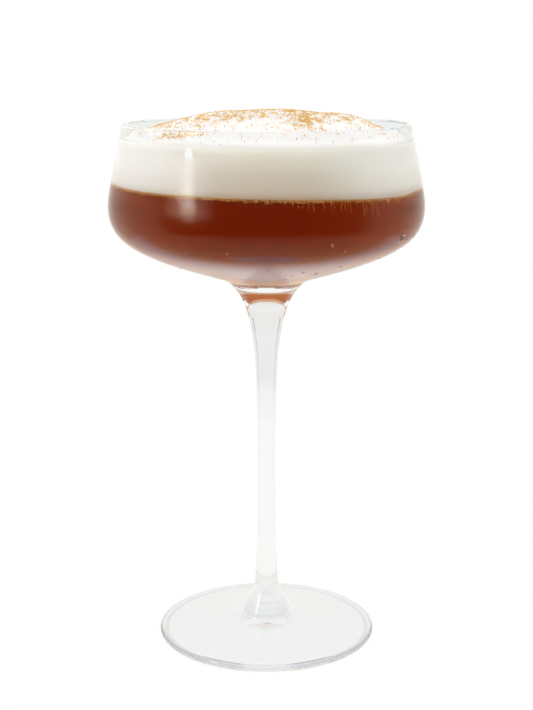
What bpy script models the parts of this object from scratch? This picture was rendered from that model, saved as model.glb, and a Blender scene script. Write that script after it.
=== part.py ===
"""A pumpkin manhattan cocktail in a stemmed coupe glass.

Three solids share the frame: the glass, the dark drink in its bowl, and the white foam
head that stands on the drink and domes above the rim. The largest grains of ground
cinnamon are set into the foam. Blender units are metres, +Z is up, and the origin is the
centre of the foot, level with the ring it stands on.
"""

import math
import random

import bmesh
import bpy
from mathutils import Euler, Matrix, Vector

MM = 0.001
SEGMENTS = 48
GAP = 0.3

# Glass, in millimetres. Each curve is a cubic Bezier given by its four (radius, height)
# points. The outer ones follow each other from the rim down to the foot.
RIM_HEIGHT = 171.15
LIP_RADIUS = 0.55
RIM_MID_RADIUS = 45.45
WIDEST_HEIGHT = 145.9
OUTER_WALL = ((46.0, RIM_HEIGHT), (48.9, 157.7), (50.95, 149.0), (50.95, WIDEST_HEIGHT))
OUTER_CORNER = ((50.95, WIDEST_HEIGHT), (50.95, 134.5), (43.05, 130.6), (15.8, 122.4))
OUTER_NECK = ((15.8, 122.4), (4.65, 119.05), (3.5, 98.8), (3.27, 83.2))
STEM_UPPER = ((3.27, 83.2), (3.2, 66.0), (3.3, 52.0), (3.4, 38.0))
STEM_LOWER = ((3.4, 38.0), (3.45, 29.0), (3.6, 18.5), (4.4, 14.8))
COLLAR_FLANK_END = (7.5, 7.8)
COLLAR_BASE = (COLLAR_FLANK_END, (7.95, 6.8), (7.8, 5.6), (8.8, 5.35))
FOOT_TOP = ((8.8, 5.35), (15.0, 4.4), (26.0, 3.1), (35.2, 2.3))
FOOT_EDGE_RADIUS = 1.15
FOOT_EDGE_CENTRE = 35.2
# The underside is hollow inside a narrow ring on which the glass stands.
FOOT_HOLLOW = ((32.4, 0.0), (30.0, 0.25), (20.0, 1.55), (9.0, 2.55))
FOOT_HOLLOW_MIDDLE = ((9.0, 2.55), (6.0, 2.82), (3.0, 2.9), (0.0, 2.9))
INNER_WALL = ((44.9, RIM_HEIGHT), (47.75, 157.7), (49.6, 149.0), (49.6, WIDEST_HEIGHT))
INNER_CORNER = ((49.6, WIDEST_HEIGHT), (49.6, 135.6), (42.2, 132.3), (16.5, 126.0))
INNER_BOTTOM = ((16.5, 126.0), (8.25, 123.98), (9.9, 120.3), (0.0, 120.3))

# The line where foam meets drink: level, and how far it sinks towards +X.
LINE_HEIGHT = 152.55
LINE_SINK = 1.45
LINE_REACH = 49.0
LINE_WAVE = 0.12

# The foam's top: a dome over the height at which it meets the wall, with broad lumps and
# a shoulder that falls to the wall.
FOAM_EDGE_HEIGHT = 167.2
FOAM_EDGE_TILT = 0.3
FOAM_EDGE_RADIUS = 46.2
FOAM_RISE = 8.4
FOAM_SHOULDER = 0.8
FOAM_SHOULDER_WIDTH = 1.1
FOAM_RINGS = (0.0, 6.0, 12.0, 18.0, 24.0, 29.5, 34.5, 39.0, 43.0, 45.0)
# Each lump is (x, y, radius, height).
FOAM_LUMPS = (
    (27.0, -2.0, 9.0, 1.9),
    (7.0, 0.0, 9.0, 0.6),
    (-17.0, 0.0, 8.0, 0.6),
    (-14.0, -22.0, 8.0, -0.4),
    (4.0, -29.0, 7.0, 0.4),
    (-31.0, -19.0, 7.0, 0.3),
    (29.0, -27.0, 8.0, -0.4),
    (1.0, 30.0, 9.0, 0.5),
    (-23.0, 25.0, 8.0, -0.5),
    (21.0, 27.0, 8.0, 0.4),
)

# Ground cinnamon: its largest grains only.
GRAIN_COUNT = 105
GRAIN_SPACING = 1.7
GRAIN_RADIUS = (0.34, 0.52)
GRAIN_FLATNESS = 0.7
GRAIN_LIMIT_RADIUS = 43.5
GRAIN_SEED = 11
# Where it was shaken: (x, y, x radius, y radius, density).
DUST_PATCHES = (
    (2.0, 6.0, 26.0, 9.0, 0.55),
    (12.0, -15.0, 4.5, 12.0, 1.0),
    (-26.0, -30.0, 6.5, 2.5, 1.0),
    (-10.0, -12.0, 15.0, 6.0, 0.3),
    (30.0, -10.0, 8.0, 12.0, 0.35),
    (-33.0, -2.0, 5.0, 7.0, 0.4),
    (0.0, 0.0, 38.0, 38.0, 0.05),
)


def bezier(points, count):
    """The points of a cubic Bezier after its first one."""
    a, b, c, d = (Vector(p) for p in points)
    result = []
    for step in range(1, count + 1):
        t = step / count
        s = 1.0 - t
        result.append(a * s**3 + b * (3 * s * s * t) + c * (3 * s * t * t) + d * t**3)
    return result


def arc(centre, radius, start, end, count):
    """The points of an arc after its first one, with its angles in degrees."""
    result = []
    for step in range(1, count + 1):
        angle = math.radians(start + (end - start) * step / count)
        result.append(Vector(centre) + radius * Vector((math.cos(angle), math.sin(angle))))
    return result


def inner_wall():
    """The inside of the bowl from the rim down to the axis."""
    points = [Vector(INNER_WALL[0])]
    points += bezier(INNER_WALL, 5)
    points += bezier(INNER_CORNER, 8)
    points += bezier(INNER_BOTTOM, 6)
    return points


def glass_profile():
    """The whole section: up the inside, over the lip, down the outside and under the foot."""
    points = list(reversed(inner_wall()))
    points += arc((RIM_MID_RADIUS, RIM_HEIGHT), LIP_RADIUS, 180.0, 0.0, 4)
    points += bezier(OUTER_WALL, 5)
    points += bezier(OUTER_CORNER, 9)
    points += bezier(OUTER_NECK, 8)
    points += bezier(STEM_UPPER, 1)
    points += bezier(STEM_LOWER, 4)
    points.append(Vector(COLLAR_FLANK_END))
    points += bezier(COLLAR_BASE, 3)
    points += bezier(FOOT_TOP, 3)
    points += arc((FOOT_EDGE_CENTRE, FOOT_EDGE_RADIUS), FOOT_EDGE_RADIUS, 90.0, -90.0, 5)
    points.append(Vector(FOOT_HOLLOW[0]))
    points += bezier(FOOT_HOLLOW, 4)
    points += bezier(FOOT_HOLLOW_MIDDLE, 2)
    return points


def contents_wall():
    """The inner wall moved inwards by the gap, from the rim down to the axis."""
    wall = inner_wall()
    moved = []
    for index, point in enumerate(wall):
        before = wall[max(index - 1, 0)]
        after = wall[min(index + 1, len(wall) - 1)]
        along = (after - before).normalized()
        inward = Vector((along.y, -along.x))
        moved.append(point + inward * GAP)
    moved[-1].x = 0.0
    return moved


def wall_radius(height):
    """The radius of the contents where they touch the wall at this height."""
    wall = contents_wall()
    for upper, lower in zip(wall, wall[1:]):
        if lower.y <= height <= upper.y:
            share = (height - lower.y) / (upper.y - lower.y)
            return lower.x + (upper.x - lower.x) * share
    return 0.0


def line_height(x, y):
    """The height of the line between drink and foam."""
    sink = LINE_SINK * (max(x, 0.0) / LINE_REACH) ** 2
    wave = LINE_WAVE * math.sin(5.0 * math.atan2(y, x) + 0.8) * math.hypot(x, y) / LINE_REACH
    return LINE_HEIGHT - sink + wave


def foam_height(x, y):
    """The height of the foam's top, lumps included."""
    distance = min(math.hypot(x, y) / FOAM_EDGE_RADIUS, 1.0)
    height = FOAM_EDGE_HEIGHT - FOAM_EDGE_TILT * x / FOAM_EDGE_RADIUS
    height += FOAM_RISE * (1.0 - distance**2)
    fade = 1.0 - distance**4
    for lump_x, lump_y, radius, rise in FOAM_LUMPS:
        away = ((x - lump_x) ** 2 + (y - lump_y) ** 2) / radius**2
        height += rise * fade * math.exp(-away)
    from_wall = (1.0 - distance) * FOAM_EDGE_RADIUS
    return height - FOAM_SHOULDER * math.exp(-from_wall / FOAM_SHOULDER_WIDTH)


def dust_density(x, y):
    """How thickly the cinnamon lies, from 0 to 1."""
    density = 0.0
    for patch_x, patch_y, radius_x, radius_y, share in DUST_PATCHES:
        away = ((x - patch_x) / radius_x) ** 2 + ((y - patch_y) / radius_y) ** 2
        density += share * math.exp(-away)
    return min(density, 1.0)


def make_material(name, colour, roughness, transmission=0.0, ior=1.45):
    """A Principled material in this colour."""
    material = bpy.data.materials.new(name)
    material.use_nodes = True
    material.diffuse_color = (*colour, 1.0)
    shader = material.node_tree.nodes["Principled BSDF"]
    shader.inputs["Base Color"].default_value = (*colour, 1.0)
    shader.inputs["Roughness"].default_value = roughness
    shader.inputs["Metallic"].default_value = 0.0
    shader.inputs["Transmission Weight"].default_value = transmission
    shader.inputs["IOR"].default_value = ior
    return material


def turned_object(name, profile, collection):
    """A profile in the XZ plane with a Screw modifier round Z."""
    mesh = bpy.data.meshes.new(name)
    vertices = [(point.x * MM, 0.0, point.y * MM) for point in profile]
    edges = [(index, index + 1) for index in range(len(profile) - 1)]
    mesh.from_pydata(vertices, edges, [])
    turned = bpy.data.objects.new(name, mesh)
    collection.objects.link(turned)
    screw = turned.modifiers.new("Turn", "SCREW")
    screw.axis = "Z"
    screw.steps = SEGMENTS
    screw.render_steps = SEGMENTS
    screw.use_merge_vertices = True
    screw.merge_threshold = 0.000005
    return turned


def apply_modifiers(thing):
    """Puts the evaluated mesh in place of the object's own mesh and modifiers."""
    bpy.context.view_layer.update()
    graph = bpy.context.evaluated_depsgraph_get()
    mesh = bpy.data.meshes.new_from_object(thing.evaluated_get(graph))
    old_mesh = thing.data
    thing.modifiers.clear()
    thing.data = mesh
    bpy.data.meshes.remove(old_mesh)


def move_ring(thing, height, tolerance, surface, offset):
    """Lifts the vertices near this height to the surface, keeping the outermost on the wall."""
    for vertex in thing.data.vertices:
        position = vertex.co / MM
        if abs(position.z - height) > tolerance:
            continue
        radius = math.hypot(position.x, position.y)
        on_wall = radius > wall_radius(height) - 0.05
        position.z = surface(position.x, position.y) + offset
        if on_wall:
            scale = wall_radius(position.z) / radius
            position.x *= scale
            position.y *= scale
        vertex.co = position * MM


def smooth(thing, degrees):
    """Shades the object smooth, with edges sharper than this angle left sharp."""
    thing.data.shade_smooth()
    thing.data.set_sharp_from_angle(angle=math.radians(degrees))


def make_glass(collection, material):
    """The glass in one piece: bowl, drawn stem, collar and foot."""
    glass = turned_object("glass", glass_profile(), collection)
    glass.data.materials.append(material)
    apply_modifiers(glass)
    smooth(glass, 40.0)
    return glass


def make_drink(collection, material):
    """The drink fills the bowl from its bottom up to the foam's line."""
    top = LINE_HEIGHT - GAP / 2.0
    profile = [Vector((0.0, top)), Vector((18.0, top)), Vector((35.0, top))]
    profile.append(Vector((wall_radius(top), top)))
    clear_of_top = 1.0 + LINE_SINK
    profile += [point for point in contents_wall() if point.y < top - clear_of_top]
    drink = turned_object("drink", profile, collection)
    drink.data.materials.append(material)
    apply_modifiers(drink)
    move_ring(drink, top, 0.01, line_height, -GAP / 2.0)
    smooth(drink, 40.0)
    return drink


def foam_body(collection, material):
    """The foam without its grains: a domed top over a side that follows the wall."""
    line = LINE_HEIGHT + GAP / 2.0
    wall = [p for p in contents_wall() if line + 1.0 < p.y < FOAM_EDGE_HEIGHT - 1.0]
    profile = [Vector((radius, FOAM_EDGE_HEIGHT)) for radius in FOAM_RINGS]
    profile.append(Vector((wall_radius(FOAM_EDGE_HEIGHT), FOAM_EDGE_HEIGHT)))
    profile += wall
    profile.append(Vector((wall_radius(line), line)))
    profile += [Vector((35.0, line)), Vector((18.0, line)), Vector((0.0, line))]
    foam = turned_object("foam", profile, collection)
    foam.data.materials.append(material)
    apply_modifiers(foam)
    move_ring(foam, FOAM_EDGE_HEIGHT, 0.01, foam_height, 0.0)
    move_ring(foam, line, 0.01, line_height, GAP / 2.0)
    return foam


def grain_places(chance):
    """Places for the grains, denser where more was shaken and never touching."""
    places = []
    while len(places) < GRAIN_COUNT:
        x = chance.uniform(-GRAIN_LIMIT_RADIUS, GRAIN_LIMIT_RADIUS)
        y = chance.uniform(-GRAIN_LIMIT_RADIUS, GRAIN_LIMIT_RADIUS)
        if math.hypot(x, y) > GRAIN_LIMIT_RADIUS or chance.random() > dust_density(x, y):
            continue
        if all(math.hypot(x - u, y - v) > GRAIN_SPACING for u, v in places):
            places.append((x, y))
    return places


def foam_surface(foam, x, y):
    """The height of the foam's faceted top above this place."""
    start = Vector((x, y, RIM_HEIGHT + 20.0)) * MM
    hit, location, _, _ = foam.ray_cast(start, Vector((0.0, 0.0, -1.0)))
    return location.z / MM if hit else foam_height(x, y)


def make_grains(foam, collection):
    """Angular grains of different sizes, each sunk a little into the foam."""
    chance = random.Random(GRAIN_SEED)
    mesh = bmesh.new()
    for x, y in grain_places(chance):
        radius = chance.uniform(*GRAIN_RADIUS)
        size = Vector((radius * chance.uniform(0.8, 1.2), radius, radius * GRAIN_FLATNESS))
        tilt = Euler((chance.uniform(-0.5, 0.5), chance.uniform(-0.5, 0.5), chance.uniform(0, 6.3)))
        centre = Vector((x, y, foam_surface(foam, x, y) + 0.25 * size.z))
        place = Matrix.LocRotScale(centre * MM, tilt, size * MM)
        bmesh.ops.create_icosphere(mesh, subdivisions=1, radius=1.0, matrix=place)
    grains_mesh = bpy.data.meshes.new("cinnamon_grains")
    mesh.to_mesh(grains_mesh)
    mesh.free()
    grains = bpy.data.objects.new("cinnamon_grains", grains_mesh)
    grains.display_type = "WIRE"
    grains.hide_render = True
    collection.objects.link(grains)
    return grains


def make_foam(collection, helpers, material, grain_material):
    """The foam head with its grains fused on."""
    foam = foam_body(collection, material)
    foam.data.materials.append(grain_material)
    grains = make_grains(foam, helpers)
    grains.data.materials.append(material)
    grains.data.materials.append(grain_material)
    for face in grains.data.polygons:
        face.material_index = 1
    union = foam.modifiers.new("Grains", "BOOLEAN")
    union.operation = "UNION"
    union.operand_type = "COLLECTION"
    union.collection = helpers
    apply_modifiers(foam)
    bpy.data.meshes.remove(grains.data)
    smooth(foam, 35.0)
    return foam


def main():
    for old_object in list(bpy.data.objects):
        bpy.data.objects.remove(old_object)
    collection = bpy.data.collections.new("pumpkin_manhattan_cocktail")
    helpers = bpy.data.collections.new("fused_on")
    bpy.context.scene.collection.children.link(collection)
    bpy.context.scene.collection.children.link(helpers)
    helpers.hide_render = True

    clear = make_material("clear_glass", (0.95, 0.97, 0.97), 0.02, 1.0, 1.5)
    dark = make_material("dark_drink", (0.25, 0.03, 0.005), 0.05, 0.6, 1.34)
    white = make_material("white_foam", (0.9, 0.87, 0.8), 0.6)
    cinnamon = make_material("ground_cinnamon", (0.55, 0.27, 0.09), 0.8)

    root = bpy.data.objects.new("cocktail_root", None)
    collection.objects.link(root)
    pieces = [
        make_glass(collection, clear),
        make_drink(collection, dark),
        make_foam(collection, helpers, white, cinnamon),
    ]
    for piece in pieces:
        piece.parent = root


main()
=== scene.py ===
"""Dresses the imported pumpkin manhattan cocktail: glass, drink, foam head and cinnamon."""

import math
import random

import bpy
from bpy.props import FloatProperty, FloatVectorProperty, IntProperty, PointerProperty
from mathutils import Euler, Matrix, Vector, noise


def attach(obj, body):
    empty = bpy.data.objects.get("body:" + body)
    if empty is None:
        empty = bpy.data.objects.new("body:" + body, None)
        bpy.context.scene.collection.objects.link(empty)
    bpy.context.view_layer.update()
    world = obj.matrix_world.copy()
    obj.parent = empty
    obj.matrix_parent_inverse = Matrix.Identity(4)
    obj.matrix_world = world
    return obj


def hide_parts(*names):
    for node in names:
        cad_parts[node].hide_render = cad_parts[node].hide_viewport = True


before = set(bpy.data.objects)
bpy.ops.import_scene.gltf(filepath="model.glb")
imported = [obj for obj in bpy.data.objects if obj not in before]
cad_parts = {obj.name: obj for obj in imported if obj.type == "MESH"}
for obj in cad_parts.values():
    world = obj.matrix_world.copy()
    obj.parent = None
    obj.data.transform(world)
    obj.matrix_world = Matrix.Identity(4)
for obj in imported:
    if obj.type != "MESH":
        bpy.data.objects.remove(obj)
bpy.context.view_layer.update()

bl_info = {
    "name": "Pumpkin manhattan cocktail",
    "version": (1, 0, 0),
    "blender": (4, 5, 0),
    "location": "3D View > Sidebar > Cocktail",
    "description": "Builds a foam-topped cocktail in a stemmed coupe glass",
    "category": "Add Mesh",
}

MM = 0.001

# The glass, in millimetres. Each curve is a cubic Bezier of (radius, height) points.
RIM_HEIGHT = 171.15
LIP_RADIUS = 0.55
RIM_MID_RADIUS = 45.45
OUTER_CURVES = (
    (((46.0, 171.15), (48.9, 157.7), (50.95, 149.0), (50.95, 145.9)), 16),
    (((50.95, 145.9), (50.95, 134.5), (43.05, 130.6), (15.8, 122.4)), 30),
    (((15.8, 122.4), (4.65, 119.05), (3.5, 98.8), (3.27, 83.2)), 26),
    (((3.27, 83.2), (3.2, 66.0), (3.3, 52.0), (3.4, 38.0)), 6),
    (((3.4, 38.0), (3.45, 29.0), (3.6, 18.5), (4.4, 14.8)), 12),
    (((4.4, 14.8), (5.43, 12.5), (6.47, 10.1), (7.5, 7.8)), 4),
    (((7.5, 7.8), (7.95, 6.8), (7.8, 5.6), (8.8, 5.35)), 8),
    (((8.8, 5.35), (15.0, 4.4), (26.0, 3.1), (35.2, 2.3)), 10),
)
INNER_CURVES = (
    (((44.9, 171.15), (47.75, 157.7), (49.6, 149.0), (49.6, 145.9)), 16),
    (((49.6, 145.9), (49.6, 135.6), (42.2, 132.3), (16.5, 126.0)), 30),
    (((16.5, 126.0), (8.25, 123.98), (9.9, 120.3), (0.0, 120.3)), 18),
)
FOOT_EDGE_RADIUS = 1.15
FOOT_EDGE_CENTRE = 35.2
FOOT_UNDERSIDE = (
    (((32.4, 0.0), (30.0, 0.25), (20.0, 1.55), (9.0, 2.55)), 10),
    (((9.0, 2.55), (6.0, 2.82), (3.0, 2.9), (0.0, 2.9)), 5),
)
# The drink and the foam reach this far into the wall, and the foam this far into the drink.
DRINK_INTO_WALL = 0.04
FOAM_INTO_WALL = 0.06
FOAM_INTO_DRINK = 0.1

# How strongly each clear thing bends light. The lip's is low, which keeps its edge quiet.
GLASS_IOR = 1.5
DRINK_IOR = 1.345
WATER_IOR = 1.33
LIP_IOR = 1.2
GLASS_TINT = (0.99, 0.993, 0.994)

# Heights between which mist lies on the bowl's outside.
MIST_HEIGHTS = (120.6, 163.5)
# How thick the mist is, from the neck up to where it ends, over these heights in metres.
FROST_RANGE = (0.1215, 0.1635)
FROST = (
    (0.0, 0.0), (0.017, 1.0), (0.13, 1.0), (0.21, 0.85), (0.3, 0.45), (0.37, 0.25), (0.8, 0.25),
    (1.0, 0.0),
)
# Painted light: a glow that stands in for the light that the frost on the bowl's underside scatters, over
# these heights in metres.
FROST_PAINTED_GLOW_RANGE = (0.1195, 0.1335)
FROST_PAINTED_GLOW = (
    (0.0, 0.0), (0.1, 0.0), (0.14, (0.15, 0.11, 0.05)), (0.18, (0.18, 0.13, 0.06)),
    (0.24, (0.1, 0.065, 0.01)), (0.32, (0.085, 0.07, 0.04)), (0.46, (0.05, 0.075, 0.09)),
    (0.71, (0.045, 0.075, 0.075)), (0.86, (0.015, 0.03, 0.035)), (1.0, 0.0),
)

# The line between drink and foam sinks towards +X.
LINE_HEIGHT = 152.55
LINE_SINK = 1.45
LINE_REACH = 49.0
LINE_WAVE = 0.12
# The rings that carry the line inside the wall's own.
LINE_RINGS = (0.0, 20.0, 38.0)
WALL_RING = 40.0
# The wall's points nearer than this to the line or to the foam's edge are left out.
LINE_GAP = 0.6
EDGE_GAP = 0.4
# How far the line lies above that at each x, as it creeps up the wall.
LINE_LIFTS = (
    (-50.0, 1.05), (-46.0, 0.85), (-42.0, 0.5), (-36.0, 0.28), (-19.0, 0.22), (-8.0, 0.14),
    (0.0, -0.05), (10.0, -0.38), (19.0, -0.48), (28.0, -0.58), (36.0, -0.42), (41.0, -0.2),
    (44.0, 0.4), (46.0, 0.75), (50.0, 1.05),
)

FOAM_EDGE_HEIGHT = 167.2
FOAM_EDGE_TILT = 0.3
FOAM_EDGE_RADIUS = 46.2
FOAM_RISE = 8.4
FOAM_SHOULDER = 0.8
FOAM_SHOULDER_WIDTH = 1.1
FOAM_TOP_RINGS = 70
# Where drink and foam wet the inside of the bowl: its heights and the radius that it stays within.
WETTED_HEIGHTS = (122.0, FOAM_EDGE_HEIGHT - 4.0)
WETTED_RADIUS = 49.7
# The foam's side, in millimetres from the line up, and its colours between stained and clean: stained by
# the drink at the line, then painted shade that darkens the middle of the side lower down, and a painted
# highlight just under its top.
FOAM_SIDE_HEIGHT = 17.0
FOAM_STAIN_AND_SHADE = (
    (0.12, (0.71, 0.645, 0.58)), (0.4, (0.735, 0.69, 0.63)), (0.7, (0.86, 0.84, 0.78)),
    (0.86, (0.98, 0.975, 0.96)),
)
# The same at the left and right ends, where a paler stain and painted light from the sides make them
# lighter, and how that takes over from the middle outwards.
FOAM_SIDE_STAIN_AND_LIGHT = (
    (0.0, (0.72, 0.67, 0.6)), (0.12, (0.77, 0.745, 0.7)), (0.4, (0.835, 0.815, 0.785)),
    (0.86, (0.85, 0.84, 0.81)),
)
FOAM_SIDE_LIGHT_SHARE = ((0.0, 0.0), (0.28, 0.0), (0.55, 0.9), (1.0, 1.0))
# The stain right at the line, and how far above the line it ends, in millimetres.
LINE_STAIN = (0.6, 0.38, 0.18)
LINE_STAIN_RANGE = (0.05, 0.3)
# Painted light: a glow that the thin edge of the foam's top gives off, over these heights in metres.
FOAM_EDGE_PAINTED_GLOW_RANGE = (0.164, 0.17)
FOAM_EDGE_PAINTED_GLOW = (
    (0.0, 0.0), (0.2, 0.0), (0.37, (0.055, 0.055, 0.045)), (0.47, (0.125, 0.125, 0.105)),
    (0.56, (0.15, 0.15, 0.14)), (0.65, (0.125, 0.13, 0.125)), (0.77, (0.03, 0.035, 0.04)), (1.0, 0.0),
)
# Each lump is (x, y, radius, height).
FOAM_LUMPS = (
    (27.0, -2.0, 9.0, 1.9), (7.0, 0.0, 9.0, 0.6), (-17.0, 0.0, 8.0, 0.6), (-14.0, -22.0, 8.0, -0.4),
    (4.0, -29.0, 7.0, 0.4), (-31.0, -19.0, 7.0, 0.3), (29.0, -27.0, 8.0, -0.4), (1.0, 30.0, 9.0, 0.5),
    (-23.0, 25.0, 8.0, -0.5), (21.0, 27.0, 8.0, 0.4),
)

# Where the cinnamon was shaken: (x, y, x radius, y radius, density). The large grains are the CAD's.
GRAIN_PATCHES = (
    (2.0, 6.0, 26.0, 9.0, 0.55),
    (12.0, -15.0, 4.5, 12.0, 1.0),
    (-26.0, -30.0, 6.5, 2.5, 1.0),
    (-10.0, -12.0, 15.0, 6.0, 0.3),
    (30.0, -10.0, 8.0, 12.0, 0.35),
    (-33.0, -2.0, 5.0, 7.0, 0.4),
    (0.0, 0.0, 38.0, 38.0, 0.05),
)
DUST_PATCHES = (
    (2.0, 6.0, 26.0, 9.0, 0.6),
    (12.0, -15.0, 4.5, 12.0, 0.75),
    (-12.0, -12.0, 16.0, 8.0, 0.3),
    (29.0, -5.0, 8.0, 9.0, 0.2),
    (-32.0, -3.0, 4.0, 4.0, 0.2),
    (0.0, 0.0, 38.0, 38.0, 0.05),
)
# An unbroken streak of dust in front on the left.
DUST_STREAKS = (
    (-29.5, -27.6, 3.4, 1.7, 0.3),
    (-24.8, -30.6, 3.4, 1.5, 0.42),
    (-20.8, -33.2, 2.8, 1.2, 0.36),
)
GRAIN_COUNT = 105
GRAIN_SPACING = 1.7
GRAIN_RADIUS = (0.34, 0.52)
GRAIN_SHARE = 0.8
GRAIN_FLATNESS = 0.7
# How uneven a grain is, how far a large one is drawn out, and its tilt and turn in radians.
GRAIN_UNEVENNESS = (0.72, 1.15)
GRAIN_STRETCH = (0.8, 1.2)
GRAIN_TILT = 0.5
GRAIN_TURN = 6.3
# The faces of one large grain, which share a shade.
GRAIN_FACES = 20
GRAIN_LIMIT_RADIUS = 43.5
GRAIN_SEED = 11
GRAIN_SHADE_SEED = 1
DUST_SEED = 4
DUST_SHADE_SEED = 9
# The dust's grains, of which most are small, and the radius that it reaches out to.
DUST_RADIUS = (0.13, 0.4)
DUST_SMALLNESS = 2.6
DUST_REACH = 44.6
DUST_TURN = 6.28
# The finest powder only tints the foam: its colour and the most that it covers.
POWDER_COLOUR = (0.86, 0.58, 0.24)
POWDER_LIMIT = 0.6

# The longest foam runs that hang into the drink in front: (x, length).
LONG_RUNS = (
    (7.8, 1.8), (9.4, 2.1), (10.7, 2.0), (12.2, 2.3), (13.5, 3.1), (16.7, 2.3), (18.6, 3.1),
    (19.7, 2.3), (21.7, 2.6), (22.9, 3.0), (23.6, 1.8), (24.6, 3.6), (26.5, 2.2), (27.9, 1.6),
    (28.5, 4.9), (29.3, 3.5), (30.9, 4.9), (31.8, 2.5), (32.8, 4.6), (34.6, 2.3), (36.2, 2.3),
    (38.0, 1.6), (39.3, 1.0),
)
# Each section of a run is (depth, width); depths past 2 are the bead's.
RUN_SECTIONS = ((0.2, 0.7), (0.4, 0.6), (0.6, 0.6), (0.8, 0.6), (2.0, 0.6), (3.0, 2.6), (4.4, 1.0))
RUN_BEAD = 2.4
# The runs start this far above the line, on a wall that is here taken as upright.
RUN_ABOVE_LINE = 0.2
RUN_WALL_RADIUS = 49.5
LONG_RUN_RADIUS = (0.06, 0.08)
RUN_COUNT = 1000
RUN_SEED = 5
RUN_RADIUS = (0.045, 0.075)
RUN_LENGTH = (0.4, 1.5)
# The longer runs hang between these angles on the near side.
RUN_LONG_SIDE = (-1.7, -0.35)
RUN_SHORT_SHARE = 0.5
RUN_LEAN = 0.25
RUN_WAVE = 0.22
RUN_PHASE = 6.28
# The foam's lower edge is frayed by many short, thick threads whose length rises and falls in teeth.
FRINGE_COUNT = 1500
FRINGE_SEED = 17
FRINGE_RADIUS = (0.06, 0.1)
FRINGE_LENGTH = (0.15, 0.85)

# Water drops on the lower bowl in front: (x, height, radius).
LARGE_DROPS = (
    (15.0, 127.6, 0.75), (22.5, 130.4, 0.6), (41.5, 138.3, 1.5), (-30.0, 131.0, 0.5),
    (6.0, 125.6, 0.5),
)
DROP_COUNT = 90
DROP_HEIGHTS = (125.0, 141.0)
# The smallest drop's radius, and how much the largest exceeds it.
DROP_RADIUS = (0.16, 0.4)
DROP_FORM = (1.0, 0.9, 0.4)
DROP_SEED = 3

# The photograph's camera.
CAMERA_DISTANCE = 0.4554
CAMERA_HEIGHT = 0.19583
CAMERA_PITCH = 12.353
CAMERA_LENS = 71.57

# The table lies just under the foot. Levels that the stage shows or mirrors may exceed white.
TABLE_RADIUS = 0.28
TABLE_HEIGHT = -0.0003
# The table as the bowl mirrors it, from its front edge to its back: painted light, dark at the front edge,
# warm where the drink throws its light and brightest behind the foot.
PAINTED_TABLE_LIGHT = (
    (0.0, (0.12, 0.04, 0.0)), (0.11, (0.42, 0.16, 0.05)), (0.3, (0.9, 0.56, 0.27)),
    (0.44, (1.05, 0.61, 0.24)), (0.57, (1.12, 0.74, 0.38)), (0.65, (1.22, 1.17, 1.1)),
    (0.74, (1.22, 1.25, 1.25)), (0.83, (1.15, 1.15, 1.1)), (0.92, (1.2, 1.0, 0.75)),
    (1.0, (1.3, 0.8, 0.35)),
)
# How that painted light dims from the middle to the left and right.
PAINTED_TABLE_LIGHT_SIDES = ((0.0, 1.0), (0.1, 0.97), (0.28, 0.8), (0.6, 0.74), (1.0, 0.65))
# The table as it shows through the foot, from the foot's centre out to this radius, with a painted shadow
# ring where the foot's rim stands on it.
UNDER_FOOT_RADIUS = 0.05
TABLE_UNDER_FOOT = (
    (0.0, (0.815, 0.825, 0.822)), (0.66, (0.815, 0.825, 0.822)), (0.672, (0.66, 0.67, 0.68)),
    (0.684, (0.66, 0.67, 0.68)), (0.696, (0.815, 0.825, 0.822)), (0.85, (0.815, 0.825, 0.822)),
    (1.0, (0.84, 0.85, 0.847)),
)
# The room behind as it shows through clear glass, from 15 to 11 degrees below the horizon.
ROOM_BEHIND_RANGE = (-0.26, -0.19)
ROOM_BEHIND = (
    (0.0, (0.965, 0.972, 0.97)), (0.31, (0.945, 0.955, 0.952)), (0.55, (0.938, 0.948, 0.943)),
    (0.67, (0.918, 0.93, 0.925)), (0.77, (0.9, 0.912, 0.907)), (0.9, (0.872, 0.885, 0.88)),
    (1.0, (0.85, 0.87, 0.865)),
)
# The room as the glass mirrors it, from the camera's side to the far side.
MIRRORED_ROOM = (
    (0.0, 0.0), (0.32, 0.0), (0.46, (0.6, 0.47, 0.33)), (0.7, (0.68, 0.56, 0.42)),
    (0.88, (0.87, 0.78, 0.64)), (1.0, (0.97, 0.93, 0.87)),
)
# Light above the camera as the glass mirrors it, from straight below to straight above.
MIRRORED_ABOVE = ((0.0, 0.0), (0.65, 0.0), (0.67, (0.75, 0.77, 0.8)), (1.0, (0.75, 0.77, 0.8)))
# The light that falls on rough things, from the camera's side to the far side.
SOFT_ROOM = (
    (0.0, (2.2, 1.95, 1.05)), (0.1, (2.2, 1.95, 1.05)), (0.25, (2.85, 2.65, 2.8)),
    (0.4, (8.8, 9.2, 10.4)), (0.55, (5.6, 6.0, 4.8)), (0.65, (2.9, 3.0, 3.0)), (0.8, (1.1, 1.0, 1.0)),
    (1.0, (1.1, 1.0, 1.0)),
)
# How the soft light fades from straight below to straight above.
SOFT_FADE = ((0.0, 0.6), (0.45, 0.8), (0.5, 1.0), (0.6, 0.68), (0.72, 0.2), (1.0, 0.0))
# How the soft light changes from the left to the right.
SOFT_SIDES = (
    (0.0, (1.1, 1.14, 1.24)), (0.35, (0.97, 0.95, 0.89)), (0.7, (0.9, 0.885, 0.87)),
    (1.0, (0.91, 0.95, 1.0)),
)
# A soft lamp above, for rough things only: its direction, edge and light.
LAMP_DIRECTION = (0.0, -0.3, 0.954)
LAMP_EDGE = 0.7
LAMP_LIGHT = (1.15, 1.25, 1.6)
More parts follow.
